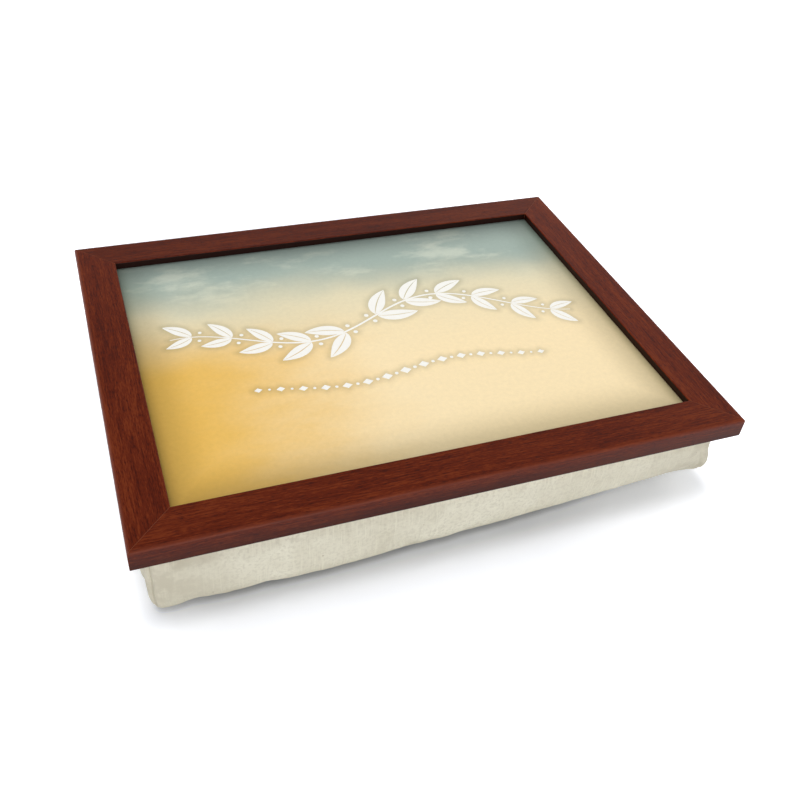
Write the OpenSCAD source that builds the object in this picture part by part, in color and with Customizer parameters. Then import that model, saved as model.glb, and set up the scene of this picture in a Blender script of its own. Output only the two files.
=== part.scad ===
// Lap tray: a mitred wooden frame round a laminated print panel, held by
// hook-and-loop strips to a bead-filled cotton bag.
// Millimetres, +Z up, the user sits at -Y. The origin is on the surface that
// the bag stands on, below the middle of the tray.

/* [Frame] */
// Width of the frame, side to side
frame_w = 440; // [380:5:520]
// Depth of the frame, front to back
frame_d = 340; // [290:5:400]
// Width of the moulding, seen from above
rail_w = 30; // [28:0.5:38]
// Height of the moulding
rail_h = 16; // [15.5:0.5:18]
// Drop from the top of the frame to the print
well_h = 6; // [4.5:0.5:6.5]
// Width of the lip that holds the panel down
lip_w = 7; // [5:0.5:9]
// Rounding of the moulding's outer top edge
outer_edge_r = 2.5; // [0.5:0.1:3.5]
// Rounding of the moulding's inner top edge
inner_edge_r = 0.8; // [0.3:0.1:1.5]

/* [Panel] */
// Thickness of the printed laminate
print_t = 0.8; // [0.5:0.1:1.2]
// Thickness of the fibreboard core
core_t = 6; // [5:0.5:6.5]
// Thickness of the plain laminate under the core
backer_t = 0.6; // [0.4:0.1:1]
// Gap between the panel's edge and the rebate wall
panel_gap = 0.5; // [0.2:0.1:1]

/* [Bag] */
// How far the frame reaches past the bag at each side
side_margin = 7; // [3:0.5:12]
// How far the frame reaches past the bag at the front and the back
end_margin = 6; // [3:0.5:12]
// Height of the bag where the frame lies on it
bag_h = 59; // [45:1:80]
// Rounding of the bag's upright corners
bag_corner_r = 11; // [8:1:18]
// Thickness of the bag's cloth, with its seams
cloth_t = 1.2; // [0.8:0.1:1.6]
// Rounding of the bag's top edge
top_roll = 3; // [1.5:0.5:5]
// How far the sides swell out past the top seam
side_swell = 3; // [1:0.5:5]
// How far the sides are drawn in halfway between the corners
side_draw = 0.5; // [0:0.5:4]
// How far the top swells up inside the frame
top_crown = 1.5; // [0.5:0.1:1.6]
// Height of the bottom seam above the surface
base_roll = 5; // [4:0.5:9]
// How far the bottom seam is tucked in from the widest point
base_tuck = 3; // [3:0.5:8]
// Depth by which the underside is pressed flat
base_press = 0.5; // [0.3:0.1:0.8]
// How far the slack front right corner is raised
slack_lift = 9.3; // [0:0.1:15]
// How far the slack front right corner is drawn back
slack_back = 9.3; // [0:0.1:12]
// How far the slack corner leans inwards at its top
corner_in = 3.2; // [0:0.1:5]
// How far the slack corner reaches outwards from there to its foot
corner_out = 10.2; // [0:0.1:14]

/* [Hook-and-loop strips] */
// Width of the strips
strip_w = 25; // [16:1:30]
// Thickness of a strip
strip_t = 1.2; // [0.9:0.1:1.5]
// Length of the front and back strips
strip_l = 300; // [200:5:320]
// Length of the left and right strips
side_strip_l = 180; // [120:5:190]
// Distance of the strips from the rebate wall
strip_margin = 8; // [7:0.5:16]

/* [Hidden] */

// Running and seating gaps
seat_gap = 0.3;   // between the frame's underside and the bag
strip_gap = 0.1;  // between the hooks and the loops
fit_gap = 0.05;   // between the steel fixings and what they sit in
fill_gap = 0.3;   // between the cloth and the beads
overrun = 1;      // how far a cut runs past the face that it starts from

// Steel fixings
wedge_leg = 5;
wedge_t = 0.6;
wedge_h = 7;
wedge_shares = [0.28, 0.62];   // places along the mitre, as shares of the joint
point_w = 8;
point_l = 14;
point_t = 0.5;
point_out = 6;                 // how far a point stands out of the rebate wall
points_long = 4;
points_short = 3;
staple_crown = 10;
staple_wire = 0.9;
staple_t = 0.5;
staple_leg = 6;
staple_end = 18;               // from the strip's end to the nearest staple

// Levels
frame_z = bag_h + seat_gap;
frame_top = frame_z + rail_h;
print_z = frame_top - well_h;
core_z = print_z - print_t;
backer_z = core_z - core_t;
panel_z = backer_z - backer_t;
hook_z = panel_z - strip_t;
loop_z = hook_z - strip_gap - strip_t;

// Places and sizes that follow
wall_w = rail_w - lip_w;       // solid width of the moulding below its lip
panel_w = frame_w - 2 * (wall_w + panel_gap);
panel_d = frame_d - 2 * (wall_w + panel_gap);
strip_inset = wall_w + strip_margin;
bag_w = frame_w - 2 * side_margin;
bag_d = frame_d - 2 * end_margin;

// Colours
mahogany = [0.36, 0.15, 0.09];
steel = [0.72, 0.73, 0.75];
sand = [0.93, 0.83, 0.64];
fibre = [0.66, 0.52, 0.36];
melamine = [0.86, 0.84, 0.80];
tape = [0.90, 0.89, 0.85];
cotton = [0.85, 0.83, 0.75];
polystyrene = [0.97, 0.97, 0.96];

round_fn = 48;

// Frame

// What a rounded edge takes off a square corner at +X +Y
module edge_round(r) {
    difference() {
        square(r + overrun);
        circle(r, $fn = round_fn);
    }
}

// Section of the moulding: outer face at x = 0, underside at y = 0
module rail_section() {
    difference() {
        square([rail_w, rail_h]);
        translate([wall_w, -overrun])
            square([lip_w + overrun, rail_h - well_h + overrun]);
        translate([outer_edge_r, rail_h - outer_edge_r])
            mirror([1, 0]) edge_round(outer_edge_r);
        translate([rail_w - inner_edge_r, rail_h - inner_edge_r])
            edge_round(inner_edge_r);
    }
}

// One mitred length along X, its outer face on y = 0
module rail(length) {
    half = length / 2;
    intersection() {
        translate([-half, 0, 0]) rotate([90, 0, 90])
            linear_extrude(length) rail_section();
        linear_extrude(rail_h)
            polygon([[-half, 0], [half, 0], [half - rail_w, rail_w], [rail_w - half, rail_w]]);
    }
}

// Puts what is drawn along X, outer face on y = 0, on one side of the frame:
// 0 front, 1 right, 2 back, 3 left
module on_side(side) {
    reach = side % 2 == 0 ? frame_d / 2 : frame_w / 2;
    rotate(90 * side) translate([0, -reach, 0]) children();
}

function side_length(side) = side % 2 == 0 ? frame_w : frame_d;

module frame_rail(side) {
    color(mahogany) difference() {
        on_side(side) translate([0, 0, frame_z]) rail(side_length(side));
        wedges(fit_gap);
        points_of_side(side, fit_gap);
    }
}

module front_rail() { frame_rail(0); }
module right_rail() { frame_rail(1); }
module back_rail() { frame_rail(2); }
module left_rail() { frame_rail(3); }

// Steel fixings of the frame

// A wedge that pulls a mitre together, one leg in each rail
module wedge(gap) {
    for (leg = [[wedge_leg, wedge_t], [wedge_t, wedge_leg]])
        translate([-gap, -gap, -gap])
            cube([leg[0] + 2 * gap, leg[1] + 2 * gap, wedge_h + 2 * gap]);
}

// Two wedges across each mitre, flush with the underside
module wedges(gap) {
    for (mx = [0, 1], my = [0, 1])
        mirror([mx, 0, 0]) mirror([0, my, 0])
            for (share = wedge_shares)
                translate([share * wall_w - frame_w / 2, share * wall_w - frame_d / 2, frame_z])
                    wedge(gap);
}

module corner_wedges() { color(steel) wedges(0); }

// Flat points driven into the rebate wall under the panel
module points_of_side(side, gap) {
    count = side % 2 == 0 ? points_long : points_short;
    pitch = side_length(side) / count;
    on_side(side)
        for (i = [0 : count - 1])
            translate([(i + 0.5) * pitch - side_length(side) / 2 - point_w / 2 - gap,
                wall_w + point_out - point_l - gap, panel_z - point_t - gap])
                cube([point_w + 2 * gap, point_l + 2 * gap, point_t + gap]);
}

module frame_points() {
    color(steel) for (side = [0 : 3]) points_of_side(side, 0);
}

// Panel

module sheet_at(z, t) {
    translate([-panel_w / 2, -panel_d / 2, z]) cube([panel_w, panel_d, t]);
}

module print_laminate() { color(sand) sheet_at(core_z, print_t); }

module core_board() {
    color(fibre) difference() {
        sheet_at(backer_z, core_t);
        staples(fit_gap);
    }
}

module backing_laminate() {
    color(melamine) difference() {
        sheet_at(panel_z, backer_t);
        staples(fit_gap);
    }
}

// Hook-and-loop strips

function strip_length(side) = side % 2 == 0 ? strip_l : side_strip_l;

module strip(side, z) {
    on_side(side)
        translate([-strip_length(side) / 2, strip_inset, z])
            cube([strip_length(side), strip_w, strip_t]);
}

module hook_strip(side) {
    color(tape) difference() {
        strip(side, hook_z);
        staples(fit_gap);
    }
}

module loop_strip(side) { color(tape) strip(side, loop_z); }

module hook_strip_front() { hook_strip(0); }
module hook_strip_right() { hook_strip(1); }
module hook_strip_back() { hook_strip(2); }
module hook_strip_left() { hook_strip(3); }
module loop_strip_front() { loop_strip(0); }
module loop_strip_right() { loop_strip(1); }
module loop_strip_back() { loop_strip(2); }
module loop_strip_left() { loop_strip(3); }

// One staple, its crown along X, pressed flush into the strip's face
module staple(gap) {
    half = staple_crown / 2;
    translate([-half - gap, -staple_wire / 2 - gap, -gap])
        cube([staple_crown + 2 * gap, staple_wire + 2 * gap, staple_t + 2 * gap]);
    for (x = [-half, half - staple_t])
        translate([x - gap, -staple_wire / 2 - gap, -gap])
            cube([staple_t + 2 * gap, staple_wire + 2 * gap, staple_leg + 2 * gap]);
}

// Staples through the hook strips into the core
module staples(gap) {
    for (side = [0 : 3])
        let (reach = strip_length(side) / 2 - staple_end)
        on_side(side)
            for (x = side % 2 == 0 ? [-reach, 0, reach] : [-reach, reach])
                translate([x, strip_inset + strip_w / 2, hook_z]) staple(gap);
}

module strip_staples() { color(steel) staples(0); }

// Bag
// Its surface is a stack of rings. A ring is a rounded rectangle, set in from
// the bag's widest outline by the first number of a profile point, at the
// height that is the second.

edge_steps = [12, 8];            // steps along a long and a short side
arc_steps = 2;                   // steps in half a corner
ring_r_min = 4;                  // least corner radius of an inner ring

slack_x_shares = [-0.45, 0.91];  // where the slack starts and is full, of half the width
slack_y_shares = [0.55, 1];      // the same towards the front, of half the depth
slack_power = 1.18;              // how slowly the slack sets in
lobe_x_share = 0.85;             // where the slack corner's own lobe starts
lobe_share = 0.22;               // how much of the slack that lobe takes up
lean_x_share = 0.68;             // where the corner's lean starts, of half the width
lean_y_share = 0.3;              // the same towards the front, of half the depth
lean_low_shares = [0.1, 0.85];   // the drop over which the corner swings outwards

// Reach of the strips from the bag's edge, so that they lie on a flat
lie_out = strip_inset - max(side_margin, end_margin) - seat_gap;
lie_in = strip_inset + strip_w - min(side_margin, end_margin) + seat_gap;
under_rail = wall_w - min(side_margin, end_margin) + seat_gap;

// Shares of the room inside the strips and of the crown, from the middle out
crown_shares = [[0.8, 1], [0.5, 0.9], [0.2, 0.4]];
// Shares of the top's roll: how far in, and how far down
roll_shares = [[2.5, 0.1], [1, 1]];
// Shares of the swell and of the height between the seams, going down
side_shares = [[0.4, 0.88], [0.08, 0.72], [0, 0.55], [0, 0.38], [0.1, 0.22], [0.4, 0.09]];
// Shares of the tuck and of the bottom roll, from the bottom seam in
tuck_shares = [[1, 1], [1.8, 0.38], [3, 0.05]];
// Where the pressed underside has rings, as shares of half the depth
foot_shares = [0.12, 0.3, 0.55, 0.85];

top_room = bag_d / 2 - lie_in;
seam_drop = bag_h - top_roll - base_roll;
top_profile = concat(
    [for (s = crown_shares) [lie_in + s[0] * top_room, loop_z + s[1] * top_crown]],
    [[lie_in, loop_z], [lie_out, loop_z], [under_rail, bag_h]],
    [for (s = roll_shares) [s[0] * top_roll, bag_h - s[1] * top_roll]]);
side_profile = [for (s = side_shares) [s[0] * side_swell, base_roll + s[1] * seam_drop]];
base_profile = concat(
    [for (s = tuck_shares) [s[0] * base_tuck, s[1] * base_roll]],
    [for (s = foot_shares) [s * bag_d / 2, -base_press]]);

bag_profile = concat(top_profile, side_profile, base_profile);
top_seam = len(top_profile) - 1;
base_seam = len(top_profile) + len(side_profile);

// The profile moved inwards by t, square to itself
function inner_profile(t) = [
    for (i = [0 : len(bag_profile) - 1])
        let (a = bag_profile[max(i - 1, 0)],
             b = bag_profile[min(i + 1, len(bag_profile) - 1)],
             along = (b - a) / norm(b - a))
            bag_profile[i] + t * [-along[1], along[0]]];

function heading(angle) = [cos(angle), sin(angle)];
function mix(a, b, share) = a + (b - a) * share;
function ramp(v, from, to) = min(max((v - from) / (to - from), 0), 1);
function rise(v, from, to) = let (t = ramp(v, from, to)) t * t * (3 - 2 * t);

// Points of one side of a ring, from the middle of its first corner to just
// before the middle of its second
function ring_side(side, hx, hy, r) =
    let (signs = [[-1, -1], [1, -1], [1, 1], [-1, 1]],
         a = signs[side], b = signs[(side + 1) % 4],
         from = [a[0] * (hx - r), a[1] * (hy - r)],
         to = [b[0] * (hx - r), b[1] * (hy - r)],
         facing = 270 + 90 * side,
         turn = 45 / arc_steps,
         n = edge_steps[side % 2])
    concat(
        [for (k = [0 : arc_steps - 1]) from + r * heading(facing - 45 + k * turn)],
        [for (k = [0 : n - 1]) mix(from, to, k / n) + r * heading(facing)],
        [for (k = [0 : arc_steps - 1]) to + r * heading(facing + k * turn)]);

// How a stuffed bag departs from its box: sides drawn in between the corners,
// and the front right corner slack, leaning in at its top and out at its foot
function settle(p) =
    let (sx = p[0] / (bag_w / 2), sy = p[1] / (bag_d / 2),
         low = min(max(1 - p[2] / bag_h, 0), 1),
         along = pow(ramp(sx, slack_x_shares[0], slack_x_shares[1]), slack_power)
             - lobe_share * rise(sx, lobe_x_share, 1),
         slack = along * rise(-sy, slack_y_shares[0], slack_y_shares[1]) * low,
         swing = corner_out * rise(low, lean_low_shares[0], lean_low_shares[1]) - corner_in,
         lean = swing * rise(sx, lean_x_share, 1) * rise(-sy, lean_y_share, 1))
    [p[0] - side_draw * pow(sx, 3) * (1 - sy * sy) + lean,
     p[1] - side_draw * pow(sy, 3) * (1 - sx * sx) + slack_back * slack,
     p[2] + slack_lift * slack];

// The ring at one profile point
function ring(point) =
    let (r = max(bag_corner_r - point[0], ring_r_min))
    [for (side = [0 : 3])
        each [for (q = ring_side(side, bag_w / 2 - point[0], bag_d / 2 - point[0], r))
            settle([q[0], q[1], point[1]])]];

function rings(profile, first, last) = [for (i = [first : last]) ring(profile[i])];
function reversed(list) = [for (i = [len(list) - 1 : -1 : 0]) list[i]];
function quad(a, b, c, d) = [[a, b, c], [a, c, d]];

// Four points as two faces, split so that the faces meet a neighbour's
function seam_quad(a, b, c, d) = quad(b, c, d, a);

// A closed solid from a stack of rings, fanned shut at both ends
module ring_stack(stack) {
    m = len(stack);
    n = len(stack[0]);
    middle = [for (z = [stack[0][0][2], stack[m - 1][0][2]]) [0, 0, z]];
    points = concat([middle[0]], [for (r = stack) each r], [middle[1]]);
    function at(i, j) = 1 + i * n + j % n;
    polyhedron(points, concat(
        [for (j = [0 : n - 1]) [0, at(0, j + 1), at(0, j)]],
        [for (i = [0 : m - 2], j = [0 : n - 1])
            each quad(at(i, j), at(i, j + 1), at(i + 1, j + 1), at(i + 1, j))],
        [for (j = [0 : n - 1]) [m * n + 1, at(m - 1, j), at(m - 1, j + 1)]]));
}

// One side of a stack of rings that runs down outside and up inside
module ring_strip(stack, side) {
    starts = [0, edge_steps[0] + 2 * arc_steps, edge_steps[0] + edge_steps[1] + 4 * arc_steps,
        2 * edge_steps[0] + edge_steps[1] + 6 * arc_steps];
    n = len(stack[0]);
    m = len(stack);
    columns = edge_steps[side % 2] + 2 * arc_steps + 1;
    half = m / 2;
    function at(i, j) = (i % m) * columns + j;
    polyhedron(
        [for (r = stack, j = [0 : columns - 1]) r[(starts[side] + j) % n]],
        concat(
            [for (i = [0 : m - 1], j = [0 : columns - 2])
                each i % half == half - 1
                    ? seam_quad(at(i, j), at(i, j + 1), at(i + 1, j + 1), at(i + 1, j))
                    : quad(at(i, j), at(i, j + 1), at(i + 1, j + 1), at(i + 1, j))],
            [for (i = [0 : half - 2])
                each quad(at(i, 0), at(i + 1, 0), at(m - 2 - i, 0), at(m - 1 - i, 0))],
            [for (i = [0 : half - 2]) let (e = columns - 1)
                each seam_quad(at(m - 1 - i, e), at(m - 2 - i, e), at(i + 1, e), at(i, e))]));
}

module bag_top_panel() {
    color(cotton) ring_stack(concat(
        rings(bag_profile, 0, top_seam),
        reversed(rings(inner_profile(cloth_t), 0, top_seam))));
}

module bag_band(side) {
    color(cotton) ring_strip(concat(
        rings(bag_profile, top_seam, base_seam),
        reversed(rings(inner_profile(cloth_t), top_seam, base_seam))), side);
}

module bag_front_band() { bag_band(0); }
module bag_right_band() { bag_band(1); }
module bag_back_band() { bag_band(2); }
module bag_left_band() { bag_band(3); }

// The underside, pressed flat where it stands
module bag_bottom_panel() {
    last = len(bag_profile) - 1;
    color(cotton) difference() {
        ring_stack(concat(
            reversed(rings(inner_profile(cloth_t), base_seam, last)),
            rings(bag_profile, base_seam, last)));
        translate([-bag_w / 2, -bag_d / 2, -base_press - overrun])
            cube([bag_w, bag_d, base_press + overrun]);
    }
}

module bead_fill() {
    color(polystyrene)
        ring_stack(rings(inner_profile(cloth_t + fill_gap), 0, len(bag_profile) - 1));
}

front_rail();
back_rail();
left_rail();
right_rail();
corner_wedges();
print_laminate();
core_board();
backing_laminate();
frame_points();
hook_strip_front();
hook_strip_back();
hook_strip_left();
hook_strip_right();
strip_staples();
bag_top_panel();
bag_front_band();
bag_right_band();
bag_back_band();
bag_left_band();
bag_bottom_panel();
bead_fill();
loop_strip_front();
loop_strip_back();
loop_strip_left();
loop_strip_right();
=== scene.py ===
# Lap tray: a mitred mahogany frame round a printed panel, on a calico bag of beads
import math
import bpy
import numpy as np
from mathutils import Matrix, Vector


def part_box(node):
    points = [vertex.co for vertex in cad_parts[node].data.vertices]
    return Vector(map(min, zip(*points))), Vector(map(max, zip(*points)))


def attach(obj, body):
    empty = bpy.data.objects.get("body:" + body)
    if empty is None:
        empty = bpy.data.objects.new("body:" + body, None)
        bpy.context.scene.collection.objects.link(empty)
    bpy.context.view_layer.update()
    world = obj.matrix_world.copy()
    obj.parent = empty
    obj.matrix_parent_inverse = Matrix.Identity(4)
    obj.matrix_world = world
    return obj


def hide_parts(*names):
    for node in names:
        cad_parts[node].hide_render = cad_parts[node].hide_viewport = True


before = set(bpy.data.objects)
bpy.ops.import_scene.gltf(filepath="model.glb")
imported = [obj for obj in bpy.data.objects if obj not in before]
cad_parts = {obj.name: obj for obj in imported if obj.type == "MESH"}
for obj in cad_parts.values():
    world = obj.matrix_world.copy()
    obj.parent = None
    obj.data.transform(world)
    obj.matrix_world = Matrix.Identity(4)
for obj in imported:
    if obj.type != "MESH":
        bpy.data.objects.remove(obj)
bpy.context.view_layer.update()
mm = 0.001

# Where the frame's outside, its print and its underside are
railNames = ["front_rail", "right_rail", "back_rail", "left_rail"]
railBoxes = np.array([[list(corner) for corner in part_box(name)] for name in railNames])
frameLow, frameHigh = railBoxes[:, 0].min(0), railBoxes[:, 1].max(0)
printLow, printHigh = (np.array(corner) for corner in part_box("print_laminate"))
railWidth = railBoxes[0, 1, 1] - frameLow[1]
sideNames = ["Front", "Right", "Back", "Left"]


def sideLength(side):
    # The frame's outer length along a side
    return (frameHigh - frameLow)[side % 2]


def onSide(side, along, inward, height):
    # A quarter turn for each side: along the side, inward from the frame's outer face, up
    along, inward, height = np.broadcast_arrays(along, inward, height)
    out = (frameHigh - frameLow)[1 - side % 2] / 2 - inward
    x, y = [(along, -out), (out, along), (-along, out), (-out, -along)][side]
    return np.stack([x, y, height], -1)


# Mesh tools

def gridQuads(rows, columns, wrap=False):
    # Four corners for each cell of a grid; wrap joins the last column to the first
    i = np.arange(rows - 1)[:, None]
    j = np.arange(columns if wrap else columns - 1)[None, :]
    after = (j + 1) % columns
    cells = [i * columns + j, i * columns + after, (i + 1) * columns + after, (i + 1) * columns + j]
    return np.stack(np.broadcast_arrays(*cells), -1).reshape(-1, 4)


def repeated(points, faces, places, turns=0.0):
    # One small shape turned about the vertical and moved to every place
    turns = np.broadcast_to(turns, len(places))[:, None]
    x = points[:, 0] * np.cos(turns) - points[:, 1] * np.sin(turns)
    y = points[:, 0] * np.sin(turns) + points[:, 1] * np.cos(turns)
    several = np.stack([x, y, np.broadcast_to(points[:, 2], x.shape)], -1) + places[:, None]
    offsets = np.arange(len(places))[:, None, None] * len(points)
    return several.reshape(-1, 3), (faces[None] + offsets).reshape(-1, faces.shape[1])


def tube(path, radii, sides):
    # Rings square to a path that lies in the plane of its first and third axes; each face that closes
    # an end has its last corner twice
    path = np.asarray(path, float)
    heading = np.gradient(path, axis=0)
    heading /= np.linalg.norm(heading, axis=1, keepdims=True)
    turn = (np.arange(sides) / sides * math.tau)[None, :, None]
    square = np.stack([-heading[:, 2], 0 * heading[:, 0], heading[:, 0]], 1)[:, None]
    across = np.array([0.0, 1.0, 0.0])
    radii = np.broadcast_to(radii, len(path))[:, None, None]
    rings = path[:, None] + radii * (np.sin(turn) * square + np.cos(turn) * across)
    quads = gridQuads(len(path), sides, wrap=True)
    ends = len(path) * sides + np.arange(2)
    first, last = np.arange(sides), np.arange(sides) + (len(path) - 1) * sides
    fans = [np.stack([np.roll(first, -1), first, 0 * first + ends[0], 0 * first + ends[0]], 1),
            np.stack([last, np.roll(last, -1), 0 * last + ends[1], 0 * last + ends[1]], 1)]
    return np.concatenate([rings.reshape(-1, 3), path[[0, -1]]]), np.concatenate([quads, *fans])


def carried(side, sections, along, level):
    # Outlines set one after another along a side: a closed tube with both ends capped
    points = onSide(side, along, sections[..., 0], level + sections[..., 1])
    rows, columns = points.shape[:2]
    first = np.arange(columns)
    caps = [first[::-1].tolist(), (first + (rows - 1) * columns).tolist()]
    return points.reshape(-1, 3), gridQuads(rows, columns, wrap=True).tolist() + caps


def makePiece(name, points, faces, finish, cornerUv=None, values=None, sharp=35):
    # Points and faces as given, shaded smooth except over edges sharper than the angle, or flat at 0
    faces = faces.tolist() if isinstance(faces, np.ndarray) else faces
    mesh = bpy.data.meshes.new(name)
    mesh.from_pydata(np.asarray(points, float).reshape(-1, 3).tolist(), [], faces)
    if cornerUv is not None:
        layer = mesh.uv_layers.new(name="surface")
        layer.data.foreach_set("uv", np.asarray(cornerUv, np.float32).ravel())
    for label, value in (values or {}).items():
        attribute = mesh.attributes.new(label, "FLOAT", "POINT")
        attribute.data.foreach_set("value", np.asarray(value, np.float32).ravel())
    mesh.polygons.foreach_set("use_smooth", np.full(len(mesh.polygons), sharp > 0))
    mesh.set_sharp_from_angle(angle=math.radians(sharp))
    piece = bpy.data.objects.new(name, mesh)
    bpy.context.scene.collection.objects.link(piece)
    mesh.materials.append(finish)
    return piece


def settle(piece, body, slotName, *nodes):
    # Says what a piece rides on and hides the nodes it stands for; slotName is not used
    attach(piece, body)
    if nodes:
        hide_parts(*nodes)


# Node tools

def newFinish(name):
    # A material with its node tree and its shader
    finish = bpy.data.materials.new(name)
    finish.use_nodes = True
    return finish, finish.node_tree, finish.node_tree.nodes["Principled BSDF"]


def addNode(tree, kind, inputs=None, **settings):
    # Each input is linked where it is a socket, and set where it is a value
    node = tree.nodes.new("ShaderNode" + kind)
    for key, value in settings.items():
        setattr(node, key, value)
    for key, value in (inputs or {}).items():
        if isinstance(value, bpy.types.NodeSocket):
            tree.links.new(value, node.inputs[key])
        else:
            node.inputs[key].default_value = value
    return node


def calc(tree, operation, first, second=0.0):
    # One sum on two values, sockets or numbers
    return addNode(tree, "Math", {0: first, 1: second}, operation=operation).outputs[0]


def plus(tree, first, *others):
    # The sum of them all
    for other in others:
        first = calc(tree, "ADD", first, other)
    return first


def times(tree, first, second):
    # The product of the two
    return calc(tree, "MULTIPLY", first, second)


def weighted(tree, *pairs):
    # The sum of each value times its weight
    return plus(tree, *[times(tree, value, weight) for value, weight in pairs])


def waves(tree, value, length):
    # The sine of the value, one wave to a length
    return calc(tree, "SINE", times(tree, value, math.tau / length))


def fromMesh(tree, label):
    # A value that the mesh holds at its points
    return addNode(tree, "Attribute", attribute_name=label).outputs["Fac"]


def ownPlace(tree):
    # Place in the object's own axes, in metres
    return addNode(tree, "TexCoord").outputs["Object"]


def ownMap(tree):
    # Place along and across the piece's surface, in metres
    return addNode(tree, "UVMap", uv_map="surface").outputs[0]


def between(tree, value, low, high):
    # 0 up to low, 1 from high on and smooth in between; with low above high it falls instead
    node = addNode(tree, "MapRange", {"Value": value, "From Min": low, "From Max": high},
                   interpolation_type="SMOOTHSTEP")
    return node.outputs["Result"]


def blendColour(tree, share, first, second, mode="MIX"):
    # The first colour at share 0, the second at share 1
    node = tree.nodes.new("ShaderNodeMix")
    node.data_type, node.blend_type = "RGBA", mode
    for socket, value in zip((node.inputs[0], node.inputs[6], node.inputs[7]), (share, first, second)):
        if isinstance(value, bpy.types.NodeSocket):
            tree.links.new(value, socket)
        else:
            socket.default_value = value if isinstance(value, float) else (*value, 1)
    return node.outputs[2]


def tinted(tree, share, strength, first, second, mode="MIX"):
    # The same blend at less than full strength
    return blendColour(tree, times(tree, share, strength), first, second, mode)


def scaled(tree, vector, scale, place=(0, 0, 0)):
    # A place times a scale on each axis, then moved
    node = addNode(tree, "Mapping", {"Vector": vector, "Scale": scale, "Location": place})
    return node.outputs[0]


def noise(tree, vector, scale=1.0, detail=3.0, roughness=0.5):
    # Smooth noise about 0.5, with this many waves per metre
    inputs = {"Vector": vector, "Scale": scale, "Detail": detail, "Roughness": roughness}
    return addNode(tree, "TexNoise", inputs).outputs["Fac"]


def relief(tree, shader, height, distance, strength=1.0):
    # Bends the shading as if the surface rose by height times distance
    node = addNode(tree, "Bump", {"Height": height, "Distance": distance, "Strength": strength})
    tree.links.new(node.outputs[0], shader.inputs["Normal"])


def paint(tree, shader, colour, roughness=None):
    # Colour, and roughness if it varies, from sockets
    tree.links.new(colour, shader.inputs["Base Color"])
    if roughness is not None:
        tree.links.new(roughness, shader.inputs["Roughness"])


def setSockets(shader, values):
    # What is the same all over the surface
    for key, value in values.items():
        shader.inputs[key].default_value = value


# Camera

view = dict(place=(-0.21365, -0.52828, 0.49855), azimuth=-23.913, elevation=41.069, roll=5.86,
            lens=40.45, shiftX=-0.0038, shiftY=0.00024)


def makeCamera():
    # Looks back along its azimuth and elevation, then rolls about its own axis
    a, e, o = (math.radians(view[key]) for key in ("azimuth", "elevation", "roll"))
    back = Vector((math.sin(a) * math.cos(e), -math.cos(a) * math.cos(e), math.sin(e)))
    level = Vector((math.cos(a), math.sin(a), 0))
    upright = back.cross(level)
    right = math.cos(o) * level + math.sin(o) * upright
    up = math.cos(o) * upright - math.sin(o) * level
    camera = bpy.data.objects.new("camera", bpy.data.cameras.new("camera"))
    turn = Matrix((right, up, back)).transposed().to_4x4()
    camera.matrix_world = Matrix.Translation(view["place"]) @ turn
    camera.data.lens = view["lens"]
    camera.data.shift_x, camera.data.shift_y = view["shiftX"], view["shiftY"]
    camera.data.clip_start = 0.01
    bpy.context.scene.collection.objects.link(camera)
    bpy.context.scene.camera = camera


makeCamera()
print("camera stands")


# Studio

studio = dict(worldLight=0.30, worldColour=(0.92, 0.96, 1.0, 1), whiteBelow=0.30, darkAbove=0.60,
              rightwards=0.42, darkLevel=0.015,
              floorSize=14.0, floorGap=0.05 * mm, floorColour=(0.915, 0.935, 0.995),
              contactShadowColour=(0.55, 0.56, 0.60), contactReach=6 * mm, contactSpan=(0.30, 0.95),
              footInset=12 * mm, glow=0.30, glowSpan=(0, 0.024), sideGlow=0.20, sideSpan=(0.15, 0.23),
              slackGlow=0.13, slackSpan=(0.05, 0.16), farSpan=(0.5, 2.5),
              frontPlace=(0.05, -2.33, 0.58), frontSize=(1.6, 0.9), frontPower=25.0,
              backPlace=(-0.15, 0.75, 2.7), backSize=(2.4, 2.0), backPower=54.0,
              leftPlace=(-2.35, 0.15, 0.50), rightPlace=(2.35, 0.15, 0.50),
              sideSize=(1.4, 0.7), sidePower=14.0)


def seenDirectly(tree):
    # 1 for rays from the camera and for those mirrored or let through on the way
    path = addNode(tree, "LightPath").outputs
    seen = calc(tree, "MAXIMUM", path["Is Camera Ray"], path["Is Glossy Ray"])
    return calc(tree, "MAXIMUM", seen, path["Is Transmission Ray"])


def makeWorld():
    # Even light for the surfaces; seen or mirrored, a white sweep under a dim ceiling
    world = bpy.data.worlds.new("studio")
    world.use_nodes = True
    bpy.context.scene.world = world
    tree = world.node_tree
    tree.nodes.clear()
    direction = addNode(tree, "TexCoord").outputs["Generated"]
    parts = addNode(tree, "SeparateXYZ", {0: direction}).outputs
    # The white reaches higher on the right
    tilt = times(tree, calc(tree, "MAXIMUM", parts["X"], 0.0), studio["rightwards"])
    height = calc(tree, "SUBTRACT", parts["Z"], tilt)
    ceiling = between(tree, height, studio["whiteBelow"], studio["darkAbove"])
    level = calc(tree, "SUBTRACT", 1.0, times(tree, ceiling, 1 - studio["darkLevel"]))
    even = addNode(tree, "Background", {"Color": studio["worldColour"], "Strength": studio["worldLight"]})
    sweep = addNode(tree, "Background", {"Color": (1, 1, 1, 1), "Strength": level})
    both = addNode(tree, "MixShader", {0: seenDirectly(tree), 1: even.outputs[0], 2: sweep.outputs[0]})
    addNode(tree, "OutputWorld", {"Surface": both.outputs[0]})


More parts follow.
